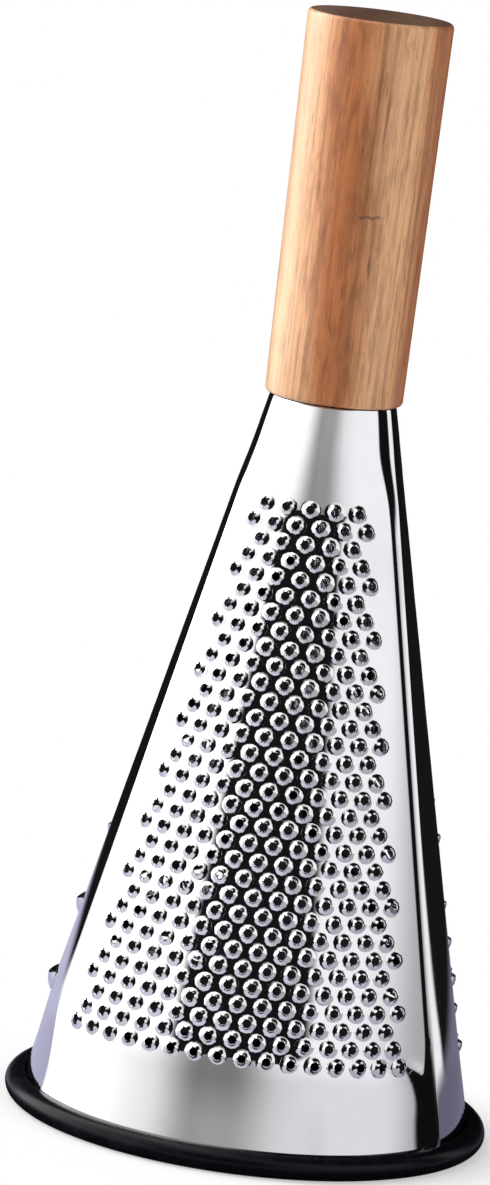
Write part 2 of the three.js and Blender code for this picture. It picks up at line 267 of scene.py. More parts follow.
class Graph:
    """A node tree and the few ways in which this script adds nodes to it."""

    def __init__(self, tree: bpy.types.NodeTree) -> None:
        """Starts from an empty tree."""
        self.tree = tree
        tree.nodes.clear()

    def node(
        self,
        kind: str,
        settings: Optional[dict[str, Any]] = None,
        inputs: Optional[dict[str, Value]] = None,
    ) -> bpy.types.Node:
        """Adds a node.

        Args:
            kind: Type name of the node.
            settings: Properties, set first.
            inputs: Values or wires by socket name.

        Returns:
            The node.
        """
        made = self.tree.nodes.new(kind)
        for key, value in (settings or {}).items():
            setattr(made, key, value)
        for name, value in (inputs or {}).items():
            self._set(next(s for s in made.inputs if s.enabled and s.name == name), value)
        return made

    def wire(
        self,
        kind: str,
        settings: Optional[dict[str, Any]] = None,
        inputs: Optional[dict[str, Value]] = None,
        output: Optional[str] = None,
    ) -> Wire:
        """Adds a node and gives one of its outputs.

        Args:
            kind: Type name of the node.
            settings: Properties, set first.
            inputs: Values or wires by socket name.
            output: Name of the output, or nothing for the first one in use.

        Returns:
            The output.
        """
        made = self.node(kind, settings, inputs)
        shown = [socket for socket in made.outputs if socket.enabled]
        return Wire(self, next(s for s in shown if output in (None, s.name)))

    def math(self, operation: str, *values: Value) -> Wire:
        """Adds a Math node on numbers.

        Args:
            operation: Name of the operation.
            values: The numbers or wires, in order.

        Returns:
            The result.
        """
        made = self.node("ShaderNodeMath", {"operation": operation})
        for socket, value in zip(made.inputs, values):
            self._set(socket, value)
        return Wire(self, made.outputs[0])

    def mix(self, share: Value, low: Value, high: Value) -> Wire:
        """Mixes two colours, with a share of 0 for the first and 1 for the second."""
        inputs = {"Factor": share, "A": low, "B": high}
        return self.wire("ShaderNodeMix", {"data_type": "RGBA"}, inputs, "Result")

    def noise(self, place: Value, scale: float, detail: float = 3.0, rough: float = 0.5) -> Wire:
        """Adds a noise from 0 to 1, with its scale in waves to one unit of the coordinates."""
        inputs = {"Vector": place, "Scale": scale, "Detail": detail, "Roughness": rough}
        return self.wire("ShaderNodeTexNoise", None, inputs, "Fac")

    def stretched(self, place: Value, scale: Triple) -> Wire:
        """Coordinates scaled along each axis."""
        return self.wire("ShaderNodeMapping", None, {"Vector": place, "Scale": scale})

    def spun(self, place: Value, turn: float) -> Wire:
        """Coordinates turned about the Z axis by an angle in degrees."""
        angles = Euler((0, 0, math.radians(turn)))
        return self.wire("ShaderNodeMapping", None, {"Vector": place, "Rotation": angles})

    def axes(self, place: Value) -> list[Wire]:
        """The coordinates X, Y and Z of a place."""
        split = self.node("ShaderNodeSeparateXYZ", None, {"Vector": place})
        return [Wire(self, socket) for socket in split.outputs]

    def end(self, kind: str, share: Value, first: bpy.types.Node, second: bpy.types.Node) -> None:
        """Mixes two shaders and ends the tree with them.

        Args:
            kind: Type name of the output node.
            share: 0 for the first shader, 1 for the second.
            first: First shader.
            second: Second shader.
        """
        both = self.node("ShaderNodeMixShader", None, {"Fac": share})
        self.tree.links.new(first.outputs[0], both.inputs[1])
        self.tree.links.new(second.outputs[0], both.inputs[2])
        self.tree.links.new(both.outputs[0], self.node(kind).inputs["Surface"])

    def _set(self, socket: bpy.types.NodeSocket, value: Value) -> None:
        """Links a wire to a socket, or sets its value."""
        if isinstance(value, Wire):
            self.tree.links.new(value.socket, socket)
        else:
            socket.default_value = value


# Finishes


class Finish(ABC):
    """A surface finish that makes its material once."""

    name: str

    def material(self) -> bpy.types.Material:
        """Makes the material, or gives the one made before."""
        found = bpy.data.materials.get(self.name)
        if found is not None:
            return found
        made = bpy.data.materials.new(self.name)
        made.use_nodes = True
        graph = Graph(made.node_tree)
        place = graph.wire("ShaderNodeTexCoord", None, None, "Object")
        shader = graph.node("ShaderNodeBsdfPrincipled", None, self.sockets(graph, place))
        output = graph.node("ShaderNodeOutputMaterial")
        made.node_tree.links.new(shader.outputs["BSDF"], output.inputs["Surface"])
        return made

    @abstractmethod
    def sockets(self, graph: Graph, place: Wire) -> dict[str, Value]:
        """Values and wires of the shader.

        Args:
            graph: Graph of the material.
            place: Coordinates on the piece.

        Returns:
            What goes into each socket of the shader, by its name.
        """

    @staticmethod
    def bump(graph: Graph, height: Wire, strength: float, depth: float) -> Wire:
        """Bends the normal by a height from 0 to 1 that stands for a depth in metres."""
        inputs = {"Height": height, "Strength": strength, "Distance": depth}
        return graph.wire("ShaderNodeBump", None, inputs, "Normal")


@dataclass(frozen=True)
class PolishedSteel(Finish):
    """Mirror-polished sheet with faint rolling lines, smudges and dull spots.

    Attributes:
        line_size: Waves of the lines in a metre along each axis.
        border: Heights between which the darker band of steel above the foot ends.
    """

    name: str = "polished_steel"
    bright: Colour = (0.90, 0.90, 0.915, 1)
    dull: Colour = (0.72, 0.715, 0.73, 1)
    gloss: float = 0.03
    smudge: float = 0.04
    line_size: Triple = (1900, 1900, 14)
    border: Pair = (18.0, 24.0)

    def sockets(self, graph: Graph, place: Wire) -> dict[str, Value]:
        """Values and wires of the shader: see Finish."""
        cloud = graph.noise(place, 45, 4, 0.6).rise(0.42, 0.75)
        speck = graph.noise(place, 900, 2).rise(0.68, 0.8)
        lines = graph.noise(graph.stretched(place, self.line_size), 1, 3, 0.6)
        # The steel turns to the darker colour below these heights, towards the foot.
        border = 1 - (graph.axes(place)[2] / MM).rise(*self.border)
        dull = graph.math("MINIMUM", border + cloud * 0.3 + speck * 0.2, 1)
        return {
            "Base Color": graph.mix(dull, self.bright, self.dull),
            "Metallic": 1.0,
            "Roughness": self.gloss + cloud * self.smudge + speck * 0.05 + lines * 0.01,
            "Normal": self.bump(graph, lines, 0.03, 0.00002),
        }


@dataclass(frozen=True)
class BrightPlate(Finish):
    """Zinc-plated hardware inside the neck."""

    name: str = "bright_plate"
    light: Colour = (0.74, 0.74, 0.75, 1)
    dark: Colour = (0.5, 0.5, 0.49, 1)

    def sockets(self, graph: Graph, place: Wire) -> dict[str, Value]:
        """Values and wires of the shader: see Finish."""
        stain = graph.noise(place, 300, 4, 0.6)
        grain = graph.noise(place, 2600, 2)
        return {
            "Base Color": graph.mix(stain.rise(0.4, 0.7), self.light, self.dark),
            "Metallic": 1.0,
            "Roughness": 0.26 + stain * 0.2,
            "Normal": self.bump(graph, grain, 0.12, 0.00003),
        }


@dataclass(frozen=True)
class BlackRubber(Finish):
    """Moulded black rubber with a satin skin and a little dust."""

    name: str = "black_rubber"
    skin: Colour = (0.003, 0.003, 0.005, 1)
    dusty: Colour = (0.007, 0.007, 0.010, 1)

    def sockets(self, graph: Graph, place: Wire) -> dict[str, Value]:
        """Values and wires of the shader: see Finish."""
        dust = graph.noise(place, 160, 5, 0.65).rise(0.45, 0.75)
        grain = graph.noise(place, 3200, 2)
        return {
            "Base Color": graph.mix(dust, self.skin, self.dusty),
            "Roughness": 0.24 + dust * 0.12 + grain * 0.06,
            "Normal": self.bump(graph, grain, 0.1, 0.00004),
            "Specular IOR Level": 0.16,
        }


@dataclass(frozen=True)
class OiledWood(Finish):
    """Turned hardwood with a darker red stripe, straight grain, dark pores and a thin coat of oil.

    Sizes are waves in a metre along each axis, and bands are millimetres. The colour also holds
    painted light: a highlight on the left side, shade down the right edge and shade on the top
    end.
    """

    name: str = "oiled_wood"
    pale: Colour = (0.81, 0.43, 0.205, 1)
    # Colour of the darker red stripe of the wood, also used as painted shade down the right edge.
    heartwood_and_shade: Colour = (0.45, 0.12, 0.022, 1)
    streak: Colour = (0.23, 0.08, 0.028, 1)
    pore: Colour = (0.12, 0.05, 0.022, 1)
    burl: Colour = (0.2, 0.055, 0.014, 1)
    # Painted highlight: pale colour mixed into the left side of the handle, where the left soft
    # box lights it.
    painted_highlight: Colour = (0.97, 0.7, 0.48, 1)
    # End grain colour, darkened further as painted shade on the unlit top end.
    end: Colour = (0.04, 0.021, 0.013, 1)
    drift_size: Triple = (60, 60, 9)
    grain_size: Triple = (520, 520, 11)
    fine_size: Triple = (1900, 1900, 40)
    pore_size: Triple = (1300, 1300, 130)
    mottle_size: Triple = (700, 700, 150)
    # Band across the handle, in millimetres, where the painted highlight fades out.
    painted_highlight_band: Pair = (-13, -7)
    heart_band: Triple = (-6.8, 3.2, 8)
    # Painted shade: band across the handle, in millimetres, where the right edge turns to the
    # stripe colour.
    painted_shade_band: Pair = (11.5, 14.0)
    mark_across: Triple = (2, 6.5, 1.5)
    mark_height: Triple = (200.6, 201.2, 0.5)
    mark_front: Pair = (-4, 0)
    end_grain_and_shade_band: Pair = (240.9, 241.07)

    def sockets(self, graph: Graph, place: Wire) -> dict[str, Value]:
        """Values and wires of the shader: see Finish."""
        across, away, height = (axis / MM for axis in graph.axes(place))
        drift = graph.noise(graph.stretched(place, self.drift_size), 1, 4, 0.55) - 0.5
        grain = graph.noise(graph.stretched(place, self.grain_size), 1, 4, 0.6)
        fine = graph.noise(graph.stretched(place, self.fine_size), 1, 3, 0.6)
        pores = graph.noise(graph.stretched(place, self.pore_size), 1, 2, 0.5).rise(0.62, 0.76)
        mottle = graph.noise(graph.stretched(place, self.mottle_size), 1, 3, 0.6)
        wander = across + drift * 12 + (height - 200) * 0.04
        # Painted shade: the right edge, where the handle turns away from the light, is mixed
        # toward the stripe colour.
        rim = (across + drift * 4).rise(*self.painted_shade_band)
        heartwood_and_shade = wander.band(*self.heart_band) + rim * 0.9
        mark = across.band(*self.mark_across) * (height + mottle * 2).band(*self.mark_height)
        mark = mark * (1 - away.rise(*self.mark_front))
        colour = graph.mix(heartwood_and_shade * 0.85, self.pale, self.heartwood_and_shade)
        colour = graph.mix(grain.rise(0.44, 0.7) * 0.6, colour, self.streak)
        colour = graph.mix(fine.rise(0.42, 0.72) * 0.5, colour, self.streak)
        mottled = mottle.rise(0.42, 0.72) * (heartwood_and_shade * 0.25 + 0.35)
        colour = graph.mix(mottled, colour, self.burl)
        # Painted highlight: the left side is mixed toward the pale highlight colour.
        colour = graph.mix((1 - across.rise(*self.painted_highlight_band)) * 0.3, colour, self.painted_highlight)
        colour = graph.mix(graph.math("MAXIMUM", pores * 0.5, mark * 0.7), colour, self.pore)
        # Top end of the handle: end grain with painted shade.
        ends = height.rise(*self.end_grain_and_shade_band)
        relief = grain * 0.3 + fine * 0.5 - pores
        return {
            "Base Color": graph.mix(ends * 0.85, colour, self.end),
            "Roughness": 0.4 + fine * 0.16 + pores * 0.2 + ends * 0.2,
            "Normal": self.bump(graph, relief, 0.25, 0.00012),
            "Coat Weight": (1 - ends) * (1 - graph.math("MINIMUM", heartwood_and_shade, 1) * 0.6) * 0.95,
            "Coat Roughness": 0.32,
            "Specular IOR Level": 0.5,
        }


# The steel cone


@dataclass(frozen=True)
class Arc:
    """Section of one face at a height: a shallow arc between the flat lands of two ridges."""

    radius: float
    back: float
    half: float


@dataclass(frozen=True)
class Cone:
    """Cone of sheet steel, round at foot and neck, with three faces between three ridges.

    Attributes:
        right_edge: Depth from the right seam and the turn of the sheet in degrees.
        right_round: Height and the share of a round cone's turn, on the right half.
        foot_lean: Degrees that the shading is raised in the plain band at the foot.
        neck_lean: The same at the neck.
        neck_turn: Degrees that the shading is turned to the right at the neck.
    """

    sheet: float = 0.5
    low: float = 2.4
    high: float = 158.6
    low_radius: float = 48.85
    high_radius: float = 13.6
    ridge_rise: float = 0.07
    face_fall: float = 0.02
    ridge_land: float = 1.2
    seam_gap: float = 0.04
    foot_blend: Pair = (7.0, 30.0)
    neck_blend: Pair = (138.0, 150.0)
    ridge_turn: float = math.radians(60)
    right_edge: tuple[Pair, ...] = ((0.0, 60.0), (1.2, 52.0))
    left_edge: tuple[Pair, ...] = ((0.0, 60.0), (1.2, 52.0))
    right_round: tuple[Pair, ...] = ((14.0, 0.5), (21.0, 0.0))
    left_round: tuple[Pair, ...] = ((14.0, 0.5), (21.0, 0.0))
    round_slant: float = 0.0
    round_reach: float = 7.0
    left_shift: float = 0.0
    left_taper: float = 0.0
    shade_neck: Pair = (131.0, 152.0)
    field_foot: Pair = (22.0, 26.0)
    field_neck: Pair = (134.0, 138.0)
    foot_lean: float = 0.0
    foot_bow: float = 0.3
    neck_lean: float = 0.0
    lean_fade: Pair = (22.0, 40.0)
    lean_left: float = 0.13
    neck_turn: float = 0.0

    def radius(self, z: float) -> float:
        """Mean outer radius at a height."""
        share = (z - self.low) / (self.high - self.low)
        return self.low_radius + (self.high_radius - self.low_radius) * share

    def slope(self) -> float:
        """Fall of the radius for each millimetre of height."""
        return (self.low_radius - self.high_radius) / (self.high - self.low)

    def footed(self, z: float) -> float:
        """Share of the round foot at a height."""
        return 1 - ease(z, *self.foot_blend)

    def ridged(self, z: float) -> float:
        """Share of the full ridge at a height."""
        return (1 - self.footed(z)) * (1 - ease(z, *self.neck_blend))

    def arc(self, z: float, ridged: Optional[float] = None) -> Arc:
        """Section of a face at a height.

        Args:
            z: Height.
            ridged: Share of the full ridge, or nothing for the share at that height.

        Returns:
            The arc between the two ridge lands.
        """
        share = self.ridged(z) if ridged is None else ridged
        ridge = self.radius(z) * (1 + self.ridge_rise * share)
        middle = self.radius(z) * (1 - self.face_fall * share)
        chord = ridge * math.sin(self.ridge_turn)
        sag = middle - ridge * math.cos(self.ridge_turn)
        radius = (chord * chord + sag * sag) / (2 * sag)
        return Arc(radius, radius - middle, radius * math.asin(chord / radius) - self.ridge_land)

    def edge(self, z: float) -> float:
        """Distance from the middle of a face to its seam edge."""
        return self.arc(z).half + self.ridge_land - self.seam_gap / 2

    def place(self, across: float, z: float) -> Vector:
        """Point on the outside of the front face.

        Args:
            across: Distance from the middle line, along the sheet.
            z: Height.

        Returns:
            The point.
        """
        arc = self.arc(z)
        on_arc = clamp(across, -arc.half, arc.half)
        on_land = across - on_arc
        turn = on_arc / arc.radius
        x = arc.radius * math.sin(turn) + on_land * math.cos(self.ridge_turn)
        y = arc.back - arc.radius * math.cos(turn) + abs(on_land) * math.sin(self.ridge_turn)
        return Vector((x, y, z))

    def turn(self, across: float, z: float) -> float:
        """Direction in which the sheet looks, from the middle of the face, with rounded ridges.

        Args:
            across: Distance from the middle line, along the sheet.
            z: Height.

        Returns:
            The angle in radians, positive to the right.
        """
        edge = self.edge(z)
        right, depth = across > 0, edge - abs(across)
        height = z + self.round_slant * (self.round_reach - min(depth, self.round_reach))
        if not right:
            low = self.footed(z)
            depth = (depth - self.left_shift * low) * (1 + self.left_taper * low)
        on_round = across / edge * self.ridge_turn
        on_face = across / self.arc(z, 1.0).radius
        table = self.right_edge if right else self.left_edge
        if depth < table[-1][0] + TOUCH:
            on_face = math.copysign(math.radians(tabled(depth, table)), across)
        share = 1 - tabled(height, self.right_round if right else self.left_round)
        share *= 1 - ease(z, *self.shade_neck)
        return on_round + (on_face - on_round) * share

    def edge_line(self, depth: float, z: float, right: bool) -> float:
        """Place of a line that keeps its depth in the table of an edge.

        Args:
            depth: Depth in the table.
            z: Height.
            right: Whether the line runs along the right edge.

        Returns:
            Distance from the middle line, along the sheet.
        """
        if right:
            return self.edge(z) - depth
        low = self.footed(z)
        return -self.edge(z) + depth / (1 + self.left_taper * low) + self.left_shift * low

    def out(self, across: float, z: float, extra: float = 0.0, side: float = 0.0) -> Vector:
        """Direction straight out of the sheet.

        Args:
            across: Distance from the middle line, along the sheet.
            z: Height.
            extra: Degrees that the direction is raised.
            side: Degrees that the direction is turned to the right.

        Returns:
            The unit vector.
        """
        turn = self.turn(across, z) + math.radians(side)
        lean = math.atan(self.slope()) + math.radians(extra)
        flat = Vector((math.sin(turn), -math.cos(turn), 0))
        return flat * math.cos(lean) + Vector((0, 0, math.sin(lean)))

    def normal(self, across: float, z: float) -> Vector:
        """Direction out of the sheet as it shades, with the plain zones swept up at foot and neck.

        Args:
            across: Distance from the middle line, along the sheet.
            z: Height.

        Returns:
            The unit normal.
        """
        low = (1 - ease(z, *self.field_foot)) * (1 + self.foot_bow * self.footed(z))
        extra = self.foot_lean * low + self.neck_lean * ease(z, *self.field_neck)
        faded = ease(abs(math.degrees(self.turn(across, z))), *self.lean_fade)
        side = self.neck_turn * ease(z, *self.field_neck) * (1 - faded)
        return self.out(across, z, extra * (1 - (1 - self.lean_left) * faded), side)


class Cut(ABC):
    """A shape punched out of the sheet, at the middle of its cell."""

    @abstractmethod
    def outline(self) -> list[Pair]:
        """Edge of the hole that the shape leaves in the sheet, anticlockwise."""

    @abstractmethod
    def shell(self) -> Shell:
        """Closed shell of the drawn-up metal, with Z out of the sheet and Y up along it."""

    def reach(self) -> float:
        """Largest distance of the outline from the middle of its cell."""
        return max(math.hypot(*point) for point in self.outline())


@dataclass(frozen=True)
class Nub(Cut):
    """Round nub that flares up to a pierced tip, given by its slope at each radius."""

    sunk: float = 0.05
    sheet: float = 0.5
    opening: float = 1.85
    rim_edge: float = 0.08
    rim_drop: float = 0.2
    throat: float = 0.1
    flank: tuple[Pair, ...] = (
        (2.25, 9), (2.05, 14), (1.78, 22), (1.5, 33), (1.29, 42), (1.13, 47), (0.96, 52)
    )
    sides: int = 12

    def outline(self) -> list[Pair]:
        """Edge of the hole in the sheet: see Cut."""
        return rounded((0.0, 0.0), self.opening, 0, 360, self.sides)[:-1]

    def shell(self) -> Shell:
        """Closed shell of the flared nub: see Cut."""
        outside = [(self.flank[0][0], -self.sunk)]
        for (wide, first), (narrow, second) in zip(self.flank, self.flank[1:]):
            steep = math.tan(math.radians((first + second) / 2))
            outside.append((narrow, outside[-1][1] + (wide - narrow) * steep))
        rim, high = outside[-1]
        inner = (rim - self.rim_edge, high - self.rim_drop)
        under = (self.opening - self.throat, -self.sheet - self.sunk)
        return turned([*outside, inner, under], self.sides, closed=True)


@dataclass(frozen=True)
class Hood(Cut):
    """Hood that rises along a ramp to a raised lip, with its mouth upwards."""

    width: float
    ramp: float
    mouth: float
    height: float
    sheet: float = 0.5
    sunk: float = 0.1
    inner_size: float = 0.93
    lip_back: float = 0.12
    swell_power: float = 0.8
    ramp_power: float = 1.7
    sides: int = 10
    rows: int = 4

    def outline(self) -> list[Pair]:
        """Edge of the hole in the sheet: see Cut."""
        half = self.width / 2
        points = []
        for at in range(2 * self.sides):
            angle = math.pi * at / self.sides
            tall = self.mouth if at < self.sides else self.ramp
            points.append((half * math.cos(angle), tall * math.sin(angle)))
        return points

    def shell(self) -> Shell:
        """Closed shell of the hood: see Cut."""
        shell = Shell()
        outer = self._skin(shell, 1.0, 0.0)
        inner = self._skin(shell, self.inner_size, self.sheet)
        for low, high in zip(outer, outer[1:]):
            self._strip(shell, low, high)
        for low, high in zip(inner, inner[1:]):
            self._strip(shell, high, low)
        self._strip(shell, outer[-1], inner[-1])
        self._strip(shell, inner[0], outer[0])
        for end in (0, -1):
            ring = [outer[0][end], outer[1][end], inner[1][end], inner[0][end]]
            shell.faces.append(tuple(ring if end == 0 else reversed(ring)))
        return shell

    def _skin(self, shell: Shell, size: float, below: float) -> list[list[int]]:
        """Adds the rows of one side of the hood, from the foot to the lip.

        Args:
            shell: Shell to add to.
            size: Size across, as a part of the full size.
            below: Distance under the outside.

        Returns:
            Vertex numbers of each row, from left to right.
        """
        rows = []
        half = self.width / 2 * size
        for share in spread(0.0, 1.0, self.rows):
            row = []
            for at in range(self.sides + 1):
                angle = math.pi + math.pi * at / self.sides
                swell = math.sin(angle - math.pi)
                if rows[1:] and at in (0, self.sides):
                    row.append(rows[1][at])
                    continue
                lift = self.height * swell**self.swell_power * (1 - (1 - share) ** self.ramp_power)
                high = lift - below * swell if share > 0 else -below - self.sunk
                back = self.ramp * size * (1 - share) + self.lip_back * self.width * share
                row.append(len(shell.points))
                shell.points.append(Vector((half * math.cos(angle), -back * swell, high)))
            rows.append(row)
        return rows

    @staticmethod
    def _strip(shell: Shell, low: Sequence[int], high: Sequence[int]) -> None:
        """Joins two rows of vertices with faces.

        Args:
            shell: Shell to add to.
            low: Lower row, from left to right as seen from outside.
            high: Upper row.
        """
        for at in range(len(low) - 1):
            corners = (low[at], low[at + 1], high[at + 1], high[at])
            shell.faces.append(tuple(dict.fromkeys(corners)))


@dataclass(frozen=True)
class Pattern:
    """Staggered rows of one cut, from the top row down, kept clear of the ridges."""

    rows: int
    pitch: float
    row_step: float
    top_row: float
    edge_margin: float
    cut: Cut

    def cells(self, cone: Cone) -> list[Pair]:
        """Middles of the cells.

        Args:
            cone: Cone that carries the pattern.

        Returns:
            Distance across and height of each cell.
        """
        found = []
        for row in range(self.rows):
            z = self.top_row - row * self.row_step
            most = math.floor((cone.arc(z).half - self.edge_margin) / (self.pitch / 2))
            for step in range(-most, most + 1):
                if step % 2 == row % 2:
                    found.append((step * self.pitch / 2, z))
        return found


class FieldTree:
    """Geometry Nodes tree that sets one cut on every point of a field."""

    def __init__(self) -> None:
        """Builds the tree with its named inputs."""
        self.tree = bpy.data.node_groups.new("punched_field", "GeometryNodeTree")
        kinds = {
            "Points": "NodeSocketGeometry",
            "Shape": "NodeSocketObject",
            "Size Spread": "NodeSocketFloat",
            "Lean Spread": "NodeSocketFloat",
            "Seed": "NodeSocketInt",
            "Finish": "NodeSocketMaterial",
        }
        add = self.tree.interface.new_socket
        self.keys = {
            name: add(name=name, in_out="INPUT", socket_type=kind).identifier
            for name, kind in kinds.items()
        }
        add(name="Field", in_out="OUTPUT", socket_type="NodeSocketGeometry")
        graph = Graph(self.tree)
        start = graph.node("NodeGroupInput")
        given = {name: Wire(graph, start.outputs[name]) for name in kinds}
        rotation = self._rotation(graph, given)
        spread_of = given["Size Spread"]
        limits = {"Min": 1 - spread_of, "Max": 1 + spread_of, "Seed": given["Seed"]}
        size = graph.wire("FunctionNodeRandomValue", {"data_type": "FLOAT"}, limits)
        shape = graph.wire("GeometryNodeObjectInfo", None, {"Object": given["Shape"]}, "Geometry")
        stood = {"Points": given["Points"], "Instance": shape, "Rotation": rotation, "Scale": size}
        placed = graph.wire("GeometryNodeInstanceOnPoints", None, stood)
        real = graph.wire("GeometryNodeRealizeInstances", None, {"Geometry": placed})
        worn = {"Geometry": real, "Material": given["Finish"]}
        done = graph.wire("GeometryNodeSetMaterial", None, worn)
        graph.node("NodeGroupOutput", None, {"Field": done})

    @staticmethod
    def _rotation(graph: Graph, given: dict[str, Wire]) -> Wire:
        """Stands each shape on the sheet with a small random lean.

        Args:
            graph: Graph of the tree.
            given: Inputs of the tree.

        Returns:
            The rotation of each shape.
        """
        named = {"data_type": "FLOAT_VECTOR"}
        out, side = (
            graph.wire("GeometryNodeInputNamedAttribute", named, {"Name": name}, "Attribute")
            for name in ("out", "side")
        )
        axes = {"primary_axis": "Z", "secondary_axis": "X"}
        ends = {"Primary Axis": out, "Secondary Axis": side}
        stand = graph.wire("FunctionNodeAxesToRotation", axes, ends)
        lean = given["Lean Spread"]
        least, most = (
            graph.wire("ShaderNodeCombineXYZ", None, dict.fromkeys("XYZ", angle))
            for angle in (-lean, lean)
        )
        limits = {"Min": least, "Max": most, "Seed": given["Seed"]}
        angles = graph.wire("FunctionNodeRandomValue", {"data_type": "FLOAT_VECTOR"}, limits)
        wobble = graph.wire("FunctionNodeEulerToRotation", None, {"Euler": angles})
        both = {"Rotation": stand, "Rotate By": wobble}
        return graph.wire("FunctionNodeRotateRotation", {"rotation_space": "LOCAL"}, both)

    def apply(self, points: bpy.types.Object, values: dict[str, Any]) -> bpy.types.Object:
        """Turns a field of points into a plain mesh of shapes.

        Args:
            points: Object whose vertices carry the attributes out and side.
            values: Values of the tree's inputs by name.

        Returns:
            The same object with its new mesh.
        """
        modifier = points.modifiers.new("field", "NODES")
        modifier.node_group = self.tree
        for name, value in values.items():
            modifier[self.keys[name]] = value
        settle(points)
        return points


@dataclass(frozen=True)
class GratingFace:
    """One punched face of the cone: its sheet and the field of cuts drawn up from it."""

    node: str
    cuts: str
    turn: float
    pattern: Pattern
    seed: int
    lean_spread: float = 0.03
    size_spread: float = 0.025
    cone: Cone = Cone()
    level_step: float = 1.0
    column_step: float = 3.0
    edge_depths: tuple[float, ...] = (-0.4, 0.0, 0.5, 1.2, 1.9, 2.2, 3.0, 3.8, 4.6)
    edge_clear: float = 0.2
    hole_clear: float = 0.4
    least_columns: int = 4
    merge: float = 1e-6

    def build(self, tree: FieldTree, finish: Finish) -> list[bpy.types.Object]:
        """Makes the sheet and its cuts.

        Args:
            tree: Tree that places the cuts.
            finish: Finish of the steel.

        Returns:
            The sheet and the field of cuts.
        """
        sheet = self._sheet().to_object(f"{self.node}_sheet", self.turn)
        sheet.data.materials.append(finish.material())
        shape = self.pattern.cut.shell().to_object(f"{self.node}_shape")
        values = {
            "Shape": shape,
            "Size Spread": self.size_spread,
            "Lean Spread": self.lean_spread,
            "Seed": self.seed,
            "Finish": finish.material(),
        }
        field_of_cuts = tree.apply(self._points(), values)
        bpy.data.objects.remove(shape)
        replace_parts(sheet, self.node)
        return [sheet, field_of_cuts]

    def _points(self) -> bpy.types.Object:
        """Makes the points of the field.

        Returns:
            The points, with the directions out of the sheet and along it as attributes.
        """
        around = Matrix.Rotation(self.turn, 3, "Z")
        cells = self.pattern.cells(self.cone)
        mesh = bpy.data.meshes.new(self.cuts)
        mesh.from_pydata([tuple(around @ self.cone.place(*cell) * MM) for cell in cells], [], [])
        outs = [around @ self.cone.out(*cell) for cell in cells]
        sides = [Vector((0, 0, 1)).cross(out).normalized() for out in outs]
        for name, vectors in (("out", outs), ("side", sides)):
            values = mesh.attributes.new(name, "FLOAT_VECTOR", "POINT").data
            values.foreach_set("vector", [number for vector in vectors for number in vector])
        made = bpy.data.objects.new(self.cuts, mesh)
        bpy.context.scene.collection.objects.link(made)
        return made

    def _sheet(self) -> Shell:
        """Makes the sheet with a hole for every cut.

        Returns:
            A closed shell with its normals.
        """
        cone = self.cone
        levels = spread(cone.low, cone.high, round((cone.high - cone.low) / self.level_step))
        rows = {}
        for z in levels:
            columns = max(self.least_columns, round(2 * cone.edge(z) / self.column_step))
            rows[z] = [(across, z) for across in spread(-cone.edge(z), cone.edge(z), columns)]
        rim = rows[levels[0]] + [rows[z][-1] for z in levels[1:-1]]
        rim += list(reversed(rows[levels[-1]])) + [rows[z][0] for z in reversed(levels[1:-1])]
        cells = self.pattern.cells(cone)
        outline = self.pattern.cut.outline()
        loops = [rim] + [[(a + x, z + y) for x, y in outline] for a, z in cells]
        keep_off = self.pattern.cut.reach() + self.hole_clear
        deepest = self.edge_depths[-1] + self.edge_clear
        inside = [
            (across, z)
            for z in levels[1:-1]
            for across, _ in rows[z]
            if cone.edge_line(deepest, z, False) < across < cone.edge_line(deepest, z, True)
            and all(math.dist((across, z), cell) > keep_off for cell in cells)
        ]
        lines = []
        for depth in self.edge_depths:
            for right in (False, True):
                line = [(cone.edge_line(depth, z, right), z) for z in levels[1:-1]]
                lines.append([(a, z) for a, z in line if abs(a) < cone.edge(z) - self.edge_clear])
        return self._thick(*self._triangles(loops, lines, inside))

    def _triangles(
        self, loops: list[list[Pair]], lines: list[list[Pair]], inside: list[Pair]
    ) -> tuple[list[Pair], list[tuple[int, ...]]]:
        """Cuts the flat sheet into triangles round its holes.

        Args:
            loops: The rim of the sheet, then the edge of each hole.
            lines: Open lines that triangles keep to.
            inside: Further points.

        Returns:
            The points and the triangles.
        """
        points: list[Pair] = []
        owners: list[int] = []
        edges: list[tuple[int, int]] = []
        for number, loop in enumerate(loops):
            first, count = len(points), len(loop)
            points += loop
            owners += [number] * count
            edges += [(first + at, first + (at + 1) % count) for at in range(count)]
        for line in lines:
            first = len(points)
            points += line
            owners += [-1] * len(line)
            edges += [(first + at, first + at + 1) for at in range(len(line) - 1)]
        points += inside
        owners += [-1] * len(inside)
        flat = [Vector(point) for point in points]
        found = delaunay_2d_cdt(flat, edges, [], WHOLE_HULL, self.merge, True)
        places, triangles, sources = found[0], found[2], found[3]
        owner = [owners[source[0]] if source else -1 for source in sources]
        side = [self._side(place) for place in places]
        kept = []
        for triangle in triangles:
            who = {owner[at] for at in triangle}
            in_hole = len(who) == 1 and next(iter(who)) > 0
            beside = abs(sum(side[at] for at in triangle)) == len(triangle)
            if not in_hole and not beside:
                kept.append(tuple(triangle))
        return [(place.x, place.y) for place in places], kept

    def _side(self, place: Vector) -> int:
        """Seam edge that a point lies on: -1 for the left, 1 for the right, 0 for none."""
        on_seam = abs(place.x) > self.cone.edge(place.y) - TOUCH
        return round(math.copysign(on_seam, place.x))

